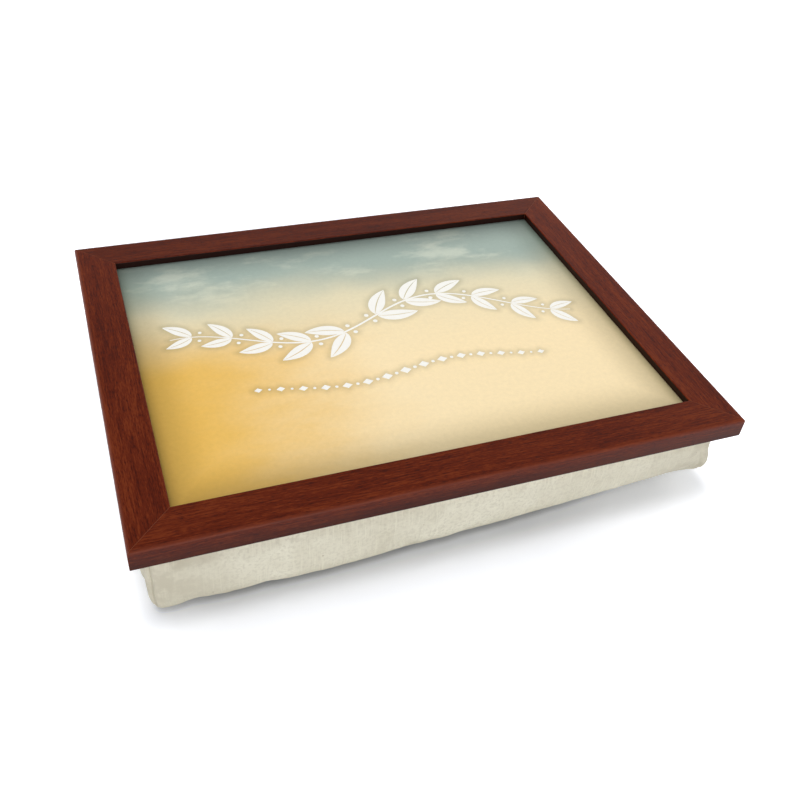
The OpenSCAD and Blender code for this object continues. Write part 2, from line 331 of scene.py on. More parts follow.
def makeFloor():
    # A flat white sheet whose colour is darkened as a painted shadow where the object stands close by; where
    # it is seen, it glows more with distance
    finish, tree, shader = newFinish("floorSheet")
    # Painted contact shadow: where ambient occlusion finds the object near, the floor's colour turns grey
    nearby = addNode(tree, "AmbientOcclusion", {"Distance": studio["contactReach"]}, samples=8)
    clear = between(tree, nearby.outputs["AO"], *studio["contactSpan"])
    paint(tree, shader, blendColour(tree, clear, studio["contactShadowColour"], studio["floorColour"]))
    setSockets(shader, {"Roughness": 0.9, "Specular IOR Level": 0.0, "Emission Color": (1, 1, 1, 1)})
    # Distance outside the outline of what stands on it, seen from above
    place = ownPlace(tree)
    folded = addNode(tree, "VectorMath", {0: place}, operation="ABSOLUTE").outputs[0]
    foot = (*(frameHigh[:2] - studio["footInset"]), 0)
    past = addNode(tree, "VectorMath", {0: folded, 1: foot}, operation="SUBTRACT").outputs[0]
    past = addNode(tree, "VectorMath", {0: past, 1: (0, 0, 0)}, operation="MAXIMUM").outputs[0]
    away = addNode(tree, "VectorMath", {0: past}, operation="LENGTH").outputs["Value"]
    # Some glow all round, more at both ends, and the most at the bag's slack end
    ends, right = (addNode(tree, "SeparateXYZ", {0: spot}).outputs["X"] for spot in (folded, place))
    glow = weighted(tree, (between(tree, away, *studio["glowSpan"]), studio["glow"]),
                    (between(tree, ends, *studio["sideSpan"]), studio["sideGlow"]),
                    (between(tree, right, *studio["slackSpan"]), studio["slackGlow"]))
    glow = plus(tree, glow, between(tree, away, *studio["farSpan"]))
    tree.links.new(times(tree, seenDirectly(tree), glow), shader.inputs["Emission Strength"])
    half, level = studio["floorSize"] / 2, -studio["floorGap"]
    corners = [[-half, -half, level], [half, -half, level], [half, half, level], [-half, half, level]]
    makePiece("floorSheet", corners, [[0, 1, 2, 3]], finish)


def makeLamp(name, place, size, power, mirrored=True):
    # A soft panel of light that faces the object
    lamp = bpy.data.objects.new(name, bpy.data.lights.new(name, "AREA"))
    lamp.data.shape = "RECTANGLE"
    lamp.data.size, lamp.data.size_y = size
    lamp.data.energy = power
    lamp.visible_glossy = mirrored
    turn = Vector(place).to_track_quat("Z", "Y").to_matrix().to_4x4()
    lamp.matrix_world = Matrix.Translation(place) @ turn
    bpy.context.scene.collection.objects.link(lamp)


makeWorld()
makeFloor()
makeLamp("frontLamp", studio["frontPlace"], studio["frontSize"], studio["frontPower"])
makeLamp("backLamp", studio["backPlace"], studio["backSize"], studio["backPower"], mirrored=False)
makeLamp("leftLamp", studio["leftPlace"], studio["sideSize"], studio["sidePower"], mirrored=False)
makeLamp("rightLamp", studio["rightPlace"], studio["sideSize"], studio["sidePower"], mirrored=False)
bpy.context.scene.view_settings.view_transform = "Standard"
print("studio is lit")


# Frame: four lengths of moulding

moulding = dict(lip=7 * mm, outerRound=2.5 * mm, innerRound=0.8 * mm, smallRound=0.4 * mm,
                ease=0.16 * mm, support=0.8 * mm, arcSteps=6, onFace=0.1 * mm,
                fromMitre=(0, 0.16 * mm, 0.4 * mm, 6 * mm, 30 * mm))
mahogany = dict(dark=(0.062, 0.0066, 0.0016), middle=(0.104, 0.0125, 0.0022),
                light=(0.160, 0.0260, 0.0052), pore=(0.029, 0.0036, 0.0016),
                # Next the colour of painted shade, then the rounded edge's lighter colour of wear and painted
                # highlight; last, each rail's share of painted shade
                paintedShade=(0.013, 0.0030, 0.0016), wearAndPaintedLight=(0.20, 0.052, 0.028), rawEdge=(0.24, 0.075, 0.038),
                gloss=0.36, specular=0.12, joint=0.35 * mm, bend=7 * mm, unevenness=0.05 * mm,
                railShades=(0.05, 0.0, 0.24, 0.03))


def roundedOutline(corners, radii, steps, support):
    # Each square corner becomes a quarter circle with a support point before and after it
    corners, radii = np.array(corners, float), np.array(radii, float)[:, None]
    towards = [np.roll(corners, shift, axis=0) - corners for shift in (1, -1)]
    before, after = (d / np.linalg.norm(d, axis=1, keepdims=True) for d in towards)
    centre = corners + radii * (before + after)
    turn = np.linspace(0, math.pi / 2, steps + 1)[None, :, None]
    arcs = centre[:, None] - radii[:, None] * (after[:, None] * np.cos(turn) + before[:, None] * np.sin(turn))
    ends = [corners + (radii + support) * d for d in (before, after)]
    return np.concatenate([ends[0][:, None], arcs, ends[1][:, None]], 1).reshape(-1, 2)


def outlineNormals(outline):
    # Square to the line through each point's neighbours, out of the solid
    run = np.roll(outline, -1, axis=0) - np.roll(outline, 1, axis=0)
    return np.stack([run[:, 1], -run[:, 0]], 1) / np.linalg.norm(run, axis=1, keepdims=True)


def mahoganyFinish():
    # Long waves bend the grain a little, then three sizes of streak run along it
    finish, tree, shader = newFinish("mahoganyStain")
    flat = ownMap(tree)
    wave = noise(tree, scaled(tree, flat, (5, 22, 1)), detail=1)
    shift = addNode(tree, "CombineXYZ", {"Y": times(tree, wave, mahogany["bend"])}).outputs[0]
    grain = addNode(tree, "VectorMath", {0: flat, 1: shift}, operation="ADD").outputs[0]
    figure = noise(tree, scaled(tree, grain, (7, 95, 1)), detail=3, roughness=0.55)
    streak = noise(tree, scaled(tree, grain, (52, 820, 1)), detail=3, roughness=0.65)
    fleck = noise(tree, scaled(tree, grain, (240, 1500, 1)), detail=2, roughness=0.6)
    tone = weighted(tree, (figure, 0.28), (streak, 0.42), (fleck, 0.30))
    colour = blendColour(tree, between(tree, tone, 0.43, 0.48), mahogany["dark"], mahogany["middle"])
    colour = blendColour(tree, between(tree, tone, 0.505, 0.57), colour, mahogany["light"])
    pores = times(tree, between(tree, fleck, 0.42, 0.34), between(tree, streak, 0.56, 0.44))
    colour = tinted(tree, pores, 0.7, colour, mahogany["pore"])
    # Painted shade: darker on the inner wall round the print, low on the outer face and on some rails, most
    # on the far one; lighter along the rounded edge, a painted highlight along with its wear
    for label, strength in (("innerWallShade", 0.97), ("outerFootShade", 0.7), ("depth", 1.0)):
        colour = tinted(tree, fromMesh(tree, label), strength, colour, mahogany["paintedShade"])
    colour = tinted(tree, fromMesh(tree, "wornEdgeHighlight"), 0.4, colour, mahogany["wearAndPaintedLight"])
    joint = between(tree, fromMesh(tree, "jointGap"), mahogany["joint"], mahogany["joint"] * 0.4)
    colour = tinted(tree, joint, 0.7, colour, mahogany["rawEdge"])
    paint(tree, shader, colour, plus(tree, mahogany["gloss"], times(tree, streak, 0.14)))
    setSockets(shader, {"Specular IOR Level": mahogany["specular"]})
    height = calc(tree, "SUBTRACT", times(tree, streak, 0.5), pores)
    relief(tree, shader, height, mahogany["unevenness"], 0.5)
    return finish


def makeRail(side, finish):
    # The moulding's outline carried along the side, each end cut off along the mitre
    inner, rebate = railWidth, railWidth - moulding["lip"]
    lipHeight, tall = printHigh[2] - frameLow[2], frameHigh[2] - frameLow[2]
    corners = [(rebate, lipHeight), (inner, lipHeight), (inner, tall), (0, tall), (0, 0), (rebate, 0)]
    small = moulding["smallRound"]
    radii = [small, small, moulding["innerRound"], moulding["outerRound"], small, small]
    outline = roundedOutline(corners, radii, moulding["arcSteps"], moulding["support"])
    drawnIn = outline - moulding["ease"] * outlineNormals(outline)
    fromMitre = np.array(moulding["fromMitre"])
    sections = np.where((fromMitre == 0)[:, None, None], drawnIn[None], outline[None])
    half = sideLength(side) / 2 - sections[:, :, 0]
    along = np.concatenate([fromMitre[:, None] - half, np.zeros((1, len(outline))),
                            (half - fromMitre[:, None])[::-1]])
    sections = np.concatenate([sections, outline[None], sections[::-1]])
    points, faces = carried(side, sections, along, frameLow[2])
    rows, columns = along.shape
    # Grain coordinates: along the side, and round the outline
    step = np.linalg.norm(np.roll(outline, -1, axis=0) - outline, axis=1)
    around = np.concatenate([[0], np.cumsum(step)])
    grain = np.stack([np.concatenate([along, along[:, :1]], 1) + 0.9 * side,
                      np.broadcast_to(around + 0.13 * side, (rows, columns + 1))], -1).reshape(-1, 2)
    cells = gridQuads(rows, columns + 1).ravel()
    capUv = np.concatenate([points[cap][:, [2, 0]] for cap in faces[-2:]])
    gap = np.minimum(half.max(), sideLength(side) / 2 - sections[:, :, 0] - abs(along))
    # Where the wall round the print and the foot of the outer face take painted shade, and the rounded edge a
    # painted highlight with its wear
    across, height = sections[:, :, 0], sections[:, :, 1]
    wallTop = tall - 0.5 * moulding["innerRound"]
    innerWallShade = (across > inner - moulding["onFace"]) & (height > lipHeight) & (height < wallTop)
    outerFootShade = np.where(across < moulding["onFace"], np.clip(1 - height / tall, 0, 1), 0)
    fromCorner = np.hypot(across, tall - height) / moulding["outerRound"]
    wornEdgeHighlight = np.clip(1.55 - 1.35 * fromCorner, 0, 1)
    name = sideNames[side].lower() + "Rail"
    piece = makePiece(name, points, faces, finish, np.concatenate([grain[cells], capUv]),
                      {"jointGap": gap, "innerWallShade": innerWallShade, "outerFootShade": outerFootShade, "wornEdgeHighlight": wornEdgeHighlight,
                       "depth": np.full(len(points), mahogany["railShades"][side])})
    settle(piece, "tray", "moulding", railNames[side])


mahoganyStain = mahoganyFinish()
for side in range(4):
    makeRail(side, mahoganyStain)
print("frame is mitred")


# Printed panel

printed = dict(grid=2.2 * mm, gold=(0.83, 0.50, 0.105), cream=(0.97, 0.78, 0.475), pale=(0.78, 0.70, 0.48),
               sage=(0.36, 0.44, 0.385), mist=(0.55, 0.60, 0.50), slate=(0.10, 0.12, 0.11),
               edgeTone=(0.55, 0.55, 0.50), railShadeTone=(0.46, 0.48, 0.44), gloss=0.30, specular=0.30,
               inkLow=(0.93, 0.90, 0.83), inkHigh=(0.98, 0.96, 0.91),
               creamSpan=(-0.18, 0.01), paleSpan=(-0.025, 0.070), airSpan=(0.045, 0.110),
               endSpan=(0.150, 0.199), frontSpan=(-0.095, -0.149), slateSpan=(0.100, 0.150),
               railShadeEndSpan=(0.180, 0.194), railShadeFrontSpan=(-0.132, -0.145),
               endSway=0.10, backSway=0.07, slant=0.05, unevenness=0.02 * mm)


def printFinish():
    # Gold turns to cream from left to right and to a misty air at the back, with darker edges and painted
    # shade along the rails
    finish, tree, shader = newFinish("printedWash")
    place = ownPlace(tree)
    drift = noise(tree, scaled(tree, place, (7, 9, 1)), detail=3, roughness=0.55)
    soft = noise(tree, scaled(tree, place, (13, 30, 1), (0.3, 0.1, 0)), detail=5, roughness=0.6)
    fine = noise(tree, place, 260, detail=5, roughness=0.72)
    parts = addNode(tree, "SeparateXYZ", {0: place}).outputs
    x, y, wide = parts["X"], parts["Y"], calc(tree, "ABSOLUTE", parts["X"])
    right = plus(tree, x, times(tree, calc(tree, "SUBTRACT", soft, 0.5), printed["endSway"]))
    back = plus(tree, y, times(tree, calc(tree, "SUBTRACT", drift, 0.5), printed["backSway"]),
                times(tree, x, printed["slant"]))
    ground = blendColour(tree, between(tree, right, *printed["creamSpan"]), printed["gold"], printed["cream"])
    ground = blendColour(tree, between(tree, back, *printed["paleSpan"]), ground, printed["pale"])
    air = blendColour(tree, between(tree, soft, 0.50, 0.66), printed["sage"], printed["mist"])
    colour = blendColour(tree, between(tree, back, *printed["airSpan"]), ground, air)
    edge = calc(tree, "MAXIMUM", between(tree, wide, *printed["endSpan"]),
                between(tree, y, *printed["frontSpan"]))
    colour = tinted(tree, edge, 0.9, colour, printed["edgeTone"], "MULTIPLY")
    colour = tinted(tree, between(tree, y, *printed["slateSpan"]), 0.85, colour, printed["slate"])
    # Painted shade: a narrow darker band where the print meets the rails, at both ends and at the front
    rim = calc(tree, "MAXIMUM", between(tree, wide, *printed["railShadeEndSpan"]),
               between(tree, y, *printed["railShadeFrontSpan"]))
    colour = tinted(tree, rim, 0.75, colour, printed["railShadeTone"], "MULTIPLY")
    mottle = plus(tree, 0.89, times(tree, fine, 0.20))
    mottled = addNode(tree, "CombineXYZ", {0: mottle, 1: mottle, 2: mottle}).outputs[0]
    colour = blendColour(tree, 1.0, colour, mottled, "MULTIPLY")
    colour = tinted(tree, fromMesh(tree, "halo"), 0.55, colour, printed["edgeTone"], "MULTIPLY")
    paint(tree, shader, colour, plus(tree, printed["gloss"], times(tree, fine, 0.08)))
    setSockets(shader, {"Specular IOR Level": printed["specular"]})
    relief(tree, shader, noise(tree, place, 900, detail=2), printed["unevenness"], 0.3)
    return finish


def inkFinish():
    # Warm white, a little uneven
    finish, tree, shader = newFinish("whiteInk")
    tone = noise(tree, ownPlace(tree), 260, detail=3)
    paint(tree, shader, blendColour(tree, tone, printed["inkLow"], printed["inkHigh"]))
    setSockets(shader, {"Roughness": printed["gloss"]})
    return finish


garland = dict(reach=0.163, wave=0.019, waves=1.5, droop=0.012, centreY=0.026, stemWidth=1.8 * mm, pairs=11,
               leafLength=34 * mm, leafWidth=13 * mm, lean=44.0, curl=0.42, vein=0.07,
               film=0.04 * mm, layer=0.0015 * mm,
               berry=1.9 * mm, berryOut=5.0 * mm, berryBack=0.030, haloReach=6 * mm,
               rowY=-0.046, rowReach=0.112, rowWave=0.006, diamonds=15, diamond=4.6 * mm, dot=1.5 * mm)


def stemAt(t):
    # A level wave from left to right, lower towards the ends; t runs from -1 to 1
    y = garland["centreY"] + garland["wave"] * np.sin(garland["waves"] * math.pi * t)
    return np.stack([garland["reach"] * t, y - garland["droop"] * t ** 2], -1)


def stemHeading(t):
    # The angle of a short step along the stem
    ahead = stemAt(t + 0.001) - stemAt(t - 0.001)
    return np.arctan2(ahead[..., 1], ahead[..., 0])


def spotShape(spot, size, isRound):
    # A small disc or diamond, as a ribbon between its lower and its upper edge
    turn = np.linspace(0.1, math.pi - 0.1, 13)
    x = -np.cos(turn)
    y = np.sin(turn) if isRound else 0.8 * (1 - abs(x))
    return spot + size * np.stack([np.stack([x, -y], -1), np.stack([x, y], -1)], 1)


def garlandShapes():
    # Ribbons between two edges: the stem, each leaf's two halves, and round berries
    shapes = []
    t = np.linspace(-1, 1, 121)
    heading = stemHeading(t)
    square = np.stack([-np.sin(heading), np.cos(heading)], -1)
    width = garland["stemWidth"] * (1 - 0.65 * t ** 2)[:, None] / 2
    shapes.append(np.stack([stemAt(t) - square * width, stemAt(t) + square * width], 1))
    s = np.linspace(0, 1, 19)
    middle = (garland["pairs"] - 1) / 2
    for k in range(garland["pairs"]):
        t = (k - middle) / (middle + 0.6)
        for hand in (-1, 1):
            lean = math.radians(garland["lean"]) * hand
            away = 1 if t >= 0 else -1
            size = (1 - 0.32 * abs(t)) * (1 + 0.07 * math.sin(5.3 * k + hand))
            heading = float(stemHeading(np.array(t))) + (math.pi if away < 0 else 0) + lean * away
            # A leaf's midrib bends towards the stem; its half width is a skewed arch
            bend = heading - garland["curl"] * hand * away * s
            step = garland["leafLength"] * size / (len(s) - 1)
            rib = np.cumsum(np.stack([np.cos(bend), np.sin(bend)], -1), 0) * step + stemAt(np.array(t))
            across = np.stack([-np.sin(bend), np.cos(bend)], -1)
            arch = (garland["leafWidth"] * size / 2 * np.sin(math.pi * s ** 0.8) ** 0.85)[:, None]
            for edge in (-1, 1):
                inner = rib + across * edge * np.maximum(arch * garland["vein"], 0.0)
                outer = rib + across * edge * arch
                shapes.append(np.stack([inner, outer] if edge > 0 else [outer, inner], 1))
    # Berries, and beneath them a row of diamonds with a dot between each two
    for k in range(garland["pairs"]):
        t = (k - middle) / (middle + 0.6)
        t = t - math.copysign(garland["berryBack"], t + 0.001)
        for hand in (-1, 1):
            square = stemHeading(np.array(t)) + hand * math.pi / 2
            spot = stemAt(np.array(t)) + garland["berryOut"] * np.array([math.cos(square), math.sin(square)])
            shapes.append(spotShape(spot, garland["berry"] * (1 - 0.3 * abs(t)), True))
    for k in range(2 * garland["diamonds"] - 1):
        t = k / (garland["diamonds"] - 1) - 1
        spot = np.array([garland["rowReach"] * t, garland["rowY"] + garland["rowWave"] * math.sin(4.2 * t)])
        size = garland["dot"] if k % 2 else garland["diamond"]
        shapes.append(spotShape(spot, size * (1 - 0.35 * abs(t)), k % 2))
    return shapes


def makePrint():
    # The laminate is a fine grid, so that the soft shade round the ornament can follow it
    shapes = garlandShapes()
    finish = printFinish()
    size = printHigh - printLow
    columns, rows = (int(round(size[k] / printed["grid"])) + 1 for k in (0, 1))
    x, y = np.meshgrid(np.linspace(printLow[0], printHigh[0], columns),
                       np.linspace(printLow[1], printHigh[1], rows))
    inked = np.concatenate([shape.reshape(-1, 2) for shape in shapes])
    spots = np.stack([x, y], -1).reshape(-1, 2)
    nearest = np.full(len(spots), 1.0)
    for part in np.array_split(inked, 40):
        away = np.linalg.norm(spots[:, None] - part[None], axis=-1).min(1)
        nearest = np.minimum(nearest, away)
    halo = np.clip(1 - nearest / garland["haloReach"], 0, 1) ** 1.3
    top = np.stack([x, y, np.full_like(x, printHigh[2])], -1)
    quads = gridQuads(rows, columns)
    sheet = makePiece("printLaminate", top, quads, finish, values={"halo": halo})
    wall = sheet.modifiers.new("thickness", "SOLIDIFY")
    wall.thickness, wall.offset = size[2], -1
    settle(sheet, "tray", "print", "print_laminate")
    points, faces, count = [], [], 0
    for k, shape in enumerate(shapes):
        # Each shape a hair above the one before, so that none lies in another's face
        height = printHigh[2] + garland["film"] + garland["layer"] * k
        rim = np.concatenate([shape, np.full(shape.shape[:2] + (1,), height)], -1).reshape(-1, 3)
        quads = gridQuads(len(shape), 2)
        a, b, c = (rim[quads[:, j], :2] for j in range(3))
        facing = ((b - a)[:, 0] * (c - a)[:, 1] - (b - a)[:, 1] * (c - a)[:, 0]).sum()
        points.append(rim)
        faces.append((quads if facing > 0 else quads[:, ::-1]) + count)
        count += len(rim)
    points, faces = np.concatenate(points), np.concatenate(faces)
    ornament = makePiece("printedGarland", points, faces, inkFinish(), sharp=0)
    film = ornament.modifiers.new("thickness", "SOLIDIFY")
    film.thickness, film.offset = garland["film"] + garland["layer"] * len(shapes), -1
    settle(ornament, "tray", "print")


makePrint()
print("panel is printed")


# Bag: six panels of calico sewn into a box, full of beads

bag = dict(sideMargin=7 * mm, endMargin=6 * mm, seat=0.3 * mm, cornerRound=11 * mm, topRoll=3 * mm,
           swell=3 * mm, swellPower=3.6, startSmaller=1.6 * mm, draw=0.5 * mm, crown=1.5 * mm,
           crownTo=125 * mm, baseRoll=5 * mm, rollPowers=(6, 4.3), rollReaches=(14 * mm, 12 * mm),
           flatFrom=23.7 * mm, flatTo=50.3 * mm, underRail=17.3 * mm, pressed=0.85, pressEase=8 * mm,
           slackLift=9.25 * mm, slackBack=9.3 * mm, slackX=(-0.45, 0.91), slackY=(0.55, 1.0), slackPower=1.18,
           lobeX=0.85, lobe=0.22, cornerIn=3.2 * mm, cornerOut=10.2 * mm, cornerX=0.68, cornerLow=(0.1, 0.85),
           waist=2.5 * mm, waistY=-0.895, waistWide=0.034,
           headroom=2.1 * mm, roomSpan=(3 * mm, 14 * mm), clothThick=0.9 * mm,
           fillInset=3.3 * mm, fillGap=0.6 * mm, mapStep=0.11, weldCell=0.02 * mm,
           coarse=(73, 57, 11), fine=(201, 155, 33), squeeze=0.45)
swelling = dict(pressure=4.0, extraCloth=0.015, frames=24, quality=6, mass=0.25, bending=1.2,
                cap=3.2 * mm, unrest=0.25 * mm, seamShare=0.35, seamReach=14 * mm,
                heldPast=4 * mm, heldInside=30 * mm, nearTop=0.5 * mm, nearFloor=0.3 * mm)
panelNames = ["Front", "Right", "Back", "Left", "Top", "Bottom"]
bagHalf = (frameHigh - frameLow)[:2] / 2 - (bag["sideMargin"], bag["endMargin"])
bagHeight = frameLow[2] - bag["seat"]
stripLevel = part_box("loop_strip_front")[0].z


def rise(value, low, high):
    # 0 below low, 1 above high and a smooth rise in between
    t = np.clip((value - low) / (high - low), 0, 1)
    return t * t * (3 - 2 * t)


def graded(count, squeeze):
    # Shares from 0 to 1, closer together towards both ends
    s = np.linspace(0, 1, count)
    return s - squeeze * np.sin(math.tau * s) / math.tau


def sideLine(side, inset, share):
    # From the middle of one rounded corner, along the side, to the middle of the next
    half, out = bagHalf[side % 2] - inset, bagHalf[1 - side % 2] - inset
    radius = bag["cornerRound"] - inset
    arc, straight = radius * math.pi / 4, 2 * (half - radius)
    walked = share * (straight + 2 * arc)
    turn = (np.minimum(walked - arc, 0) + np.maximum(walked - arc - straight, 0)) / radius
    along = np.clip(walked - arc, 0, straight) - straight / 2 + radius * np.sin(turn)
    outward = out - radius + radius * np.cos(turn)
    return np.stack([(along, -outward), (outward, along), (-along, outward), (-outward, -along)][side], -1)


def insetOf(plan):
    # How far a point of the plan lies inside the bag's widest rounded outline
    q = abs(plan) - (bagHalf - bag["cornerRound"])
    outside = np.linalg.norm(np.maximum(q, 0), axis=-1)
    return bag["cornerRound"] - outside - np.minimum(q.max(-1), 0)


def topHeight(inset):
    # Rolls over the edge, lies flat under frame and strips, and crowns inside them
    roll = np.clip((inset - bag["swell"]) / bag["rollReaches"][0], 0, 1)
    height = bagHeight - bag["topRoll"] * (1 - roll) ** bag["rollPowers"][0]
    height = height + (stripLevel - bagHeight) * rise(inset, bag["underRail"], bag["flatFrom"])
    return height + bag["crown"] * rise(inset, bag["flatTo"], bag["crownTo"])


def baseHeight(inset):
    # Rolls in under the bottom seam until it lies on the floor
    roll = np.clip((inset - bag["swell"]) / bag["rollReaches"][1], 0, 1)
    return bag["baseRoll"] * (1 - roll) ** bag["rollPowers"][1]


def slump(points):
    # Sides drawn in between the corners, and the front right corner slack and raised
    x, y, z = points[..., 0], points[..., 1], points[..., 2]
    sx, sy = x / bagHalf[0], y / bagHalf[1]
    low = np.clip(1 - z / bagHeight, 0, 1)
    start, full = bag["slackX"]
    along = np.clip((sx - start) / (full - start), 0, 1) ** bag["slackPower"]
    along = along - bag["lobe"] * rise(sx, bag["lobeX"], 1)
    slack = along * rise(-sy, *bag["slackY"]) * low
    lean = bag["cornerOut"] * rise(low, *bag["cornerLow"]) - bag["cornerIn"]
    lean = lean * rise(sx, bag["cornerX"], 1) * rise(-sy, 0.3, 1)
    waist = bag["waist"] * np.exp(-((sy - bag["waistY"]) / bag["waistWide"]) ** 2)
    waist = waist * rise(-sx, 0.85, 1) * rise(low, 0.1, 0.5)
    return np.stack([x - bag["draw"] * sx ** 3 * (1 - sy ** 2) + lean + waist,
                     y - bag["draw"] * sy ** 3 * (1 - sx ** 2) + bag["slackBack"] * slack,
                     z + bag["slackLift"] * slack], -1)


def bagPanels(counts, squeeze):
    # Each panel is a grid of points; its seams hold the same points as its neighbours'
    shares = [graded(count, squeeze) for count in counts]
    u, v = shares[0][None, :, None], shares[1][:, None, None]
    seam = bag["swell"]
    front, back = (sideLine(0, seam, shares[0]), sideLine(2, seam, 1 - shares[0]))
    right, left = (sideLine(1, seam, shares[1]), sideLine(3, seam, 1 - shares[1]))
    plan = (1 - v) * front[None] + v * back[None] + (1 - u) * left[:, None] + u * right[:, None]
    plan = plan - (1 - v) * ((1 - u) * front[0] + u * front[-1]) - v * ((1 - u) * back[0] + u * back[-1])
    up = shares[2][:, None]
    inset = seam * abs(2 * up - 1) ** bag["swellPower"] + bag["startSmaller"] * np.sin(math.pi * up)
    level = bag["baseRoll"] + up * (bagHeight - bag["topRoll"] - bag["baseRoll"])
    panels = []
    for side in range(4):
        line = sideLine(side, inset, shares[side % 2][None])
        panels.append(np.concatenate([line, np.broadcast_to(level, line.shape[:2])[..., None]], -1))
    for height in (topHeight, baseHeight):
        panels.append(np.concatenate([plan, height(insetOf(plan))[..., None]], -1))
    # A place on the cloth, and its distance over the cloth to the nearest seam
    lengths = [2 * bagHalf[0], 2 * bagHalf[1], bagHeight]
    axes = [(side % 2, 2) for side in range(4)] + [(0, 1), (0, 1)]
    places = [np.stack(np.meshgrid(shares[a] * lengths[a], shares[b] * lengths[b]), -1) for a, b in axes]
    gaps = [np.minimum(place, (lengths[a], lengths[b]) - place).min(-1)
            for place, (a, b) in zip(places, axes)]
    return [slump(panel) for panel in panels], places, gaps


def panelGrid(index, shape):
    # The bottom panel's grid runs the other way round, so its faces are turned over
    quads = gridQuads(*shape)
    return quads[:, ::-1] if panelNames[index] == "Bottom" else quads


def weld(panels):
    # Points that panels share become one; gives them with each panel's numbers and all faces
    stacked = np.concatenate([panel.reshape(-1, 3) for panel in panels])
    # The odd share keeps round measures off the borders between cells
    keys = np.round(stacked / bag["weldCell"] + 0.318).astype(np.int64)
    first, number = np.unique(keys, axis=0, return_index=True, return_inverse=True)[1:]
    number = number.reshape(-1)
    starts = np.cumsum([0] + [panel.shape[0] * panel.shape[1] for panel in panels])
    numbers = [number[a:b].reshape(panel.shape[:2]) for a, b, panel in zip(starts, starts[1:], panels)]
    quads = [own.ravel()[panelGrid(k, own.shape)] for k, own in enumerate(numbers)]
    return stacked[first], numbers, np.concatenate(quads)


def normalsOf(points, quads):
    # The mean of the faces round each point, weighted by their size
    a, b, c, d = (points[quads[:, k]] for k in range(4))
    faceNormal = np.cross(c - a, d - b)
    total = np.zeros_like(points)
    for k in range(4):
        for axis in range(3):
            total[:, axis] += np.bincount(quads[:, k], faceNormal[:, axis], len(points))
    return total / np.linalg.norm(total, axis=1, keepdims=True)


def capped(moved, cap):
    # Lets small moves through and eases long ones towards the cap
    length = np.maximum(np.linalg.norm(moved, axis=1, keepdims=True), 1e-9)
    return moved * cap * np.tanh(length / cap) / length


def swollen(points, quads, gap, inset):
    # The cloth solver blows the coarse bag up a little with more cloth than it needs
    dice = np.random.default_rng(11)
    start = points + normalsOf(points, quads) * dice.normal(0, swelling["unrest"], (len(points), 1))
    piece = makePiece("bagRehearsal", start, quads, bpy.data.materials.new("rehearsal"))
    # Held where frame and strips press it, and on the floor
    level, pressedTo = points[:, 2], bag["flatTo"] + swelling["heldPast"]
    held = (level > bagHeight - swelling["nearTop"]) & (inset > bag["underRail"]) & (inset < pressedTo)
    held |= (level < swelling["nearFloor"]) & (inset > swelling["heldInside"])
    group = piece.vertex_groups.new(name="held")
    group.add(np.flatnonzero(held).tolist(), 1.0, "REPLACE")
    cloth = piece.modifiers.new("cloth", "CLOTH")
    setting = cloth.settings
    setting.quality, setting.mass = swelling["quality"], swelling["mass"]
    setting.bending_stiffness = swelling["bending"]
    setting.use_pressure, setting.uniform_pressure_force = True, swelling["pressure"]
    setting.vertex_group_mass = "held"
    setting.shrink_min = -swelling["extraCloth"]
    setting.effector_weights.gravity = 0
    cloth.point_cache.frame_end = swelling["frames"]
    for number in range(1, swelling["frames"] + 1):
        bpy.context.scene.frame_set(number)
    shape = piece.evaluated_get(bpy.context.evaluated_depsgraph_get()).data
    found = np.empty(len(points) * 3, np.float32)
    shape.vertices.foreach_get("co", found)
    bpy.data.objects.remove(piece)
    bpy.context.scene.frame_set(1)
    # The layers in a seam are stiffer than the cloth between
    stiff = swelling["seamShare"] + (1 - swelling["seamShare"]) * rise(gap, 0, swelling["seamReach"])
    return capped(found.reshape(-1, 3) - points, swelling["cap"]) * stiff[:, None]


def cubicShares(share, count):
    # Catmull-Rom weights that read a row of evenly spaced values at each share of it
    place = np.clip(share * (count - 1), 0, count - 1 - 1e-9)
    cell = place.astype(int)
    t = (place - cell)[:, None]
    weights = np.concatenate([-t + 2 * t ** 2 - t ** 3, 2 - 5 * t ** 2 + 3 * t ** 3,
                              t + 4 * t ** 2 - 3 * t ** 3, t ** 3 - t ** 2], 1) / 2
    matrix = np.zeros((len(share), count))
    for k in range(4):
        np.add.at(matrix, (np.arange(len(share)), np.clip(cell + k - 1, 0, count - 1)), weights[:, k])
    return matrix


def ripple(points, length, seed):
    # Uneven waves along each axis, the same wherever two panels meet
    dice = np.random.default_rng(seed)
    total = 0
    for axis in range(3):
        value = points[:, axis] * math.tau / length
        a, b, c = dice.uniform(0, math.tau, 3)
        wave = np.sin(value + a + 1.3 * np.sin(value * 0.37 + b))
        total = total + wave * (0.6 + 0.4 * np.sin(value * 0.21 + c))
    return total / 2


sewing = dict(crease=0.6 * mm, creaseWide=1.3 * mm, pillow=0.3 * mm, pillowAt=4.5 * mm, pillowWide=3 * mm,
              pucker=0.22 * mm, puckerReach=7 * mm, puckerLength=11 * mm,
              soft=0.3 * mm, softLength=46 * mm, softFrom=15 * mm,
              fold=0.30 * mm, foldWide=1.1 * mm, foldDip=0.28 * mm, dipAt=3 * mm, dipWide=1.8 * mm,
              foldSpan=(1 * mm, 9 * mm), liftReach=20 * mm)
# Pressed folds of the front: place along it, lean, and strength
frontFolds = [(-0.168, 0.03, 1.0), (-0.047, -0.05, 0.8), (-0.040, 0.02, 0.7), (-0.018, 0.04, 0.8),
              (-0.008, -0.02, 0.5), (0.094, 0.05, 0.4)]
# The slack corner's seam is pulled round to the front: distance, half width and depth of its groove
lobeSeam = dict(place=8 * mm, wide=3.2 * mm, deep=1.8 * mm, bulge=0.9 * mm, ease=4 * mm,
                span=(2 * mm, 16 * mm), line=1 * mm)
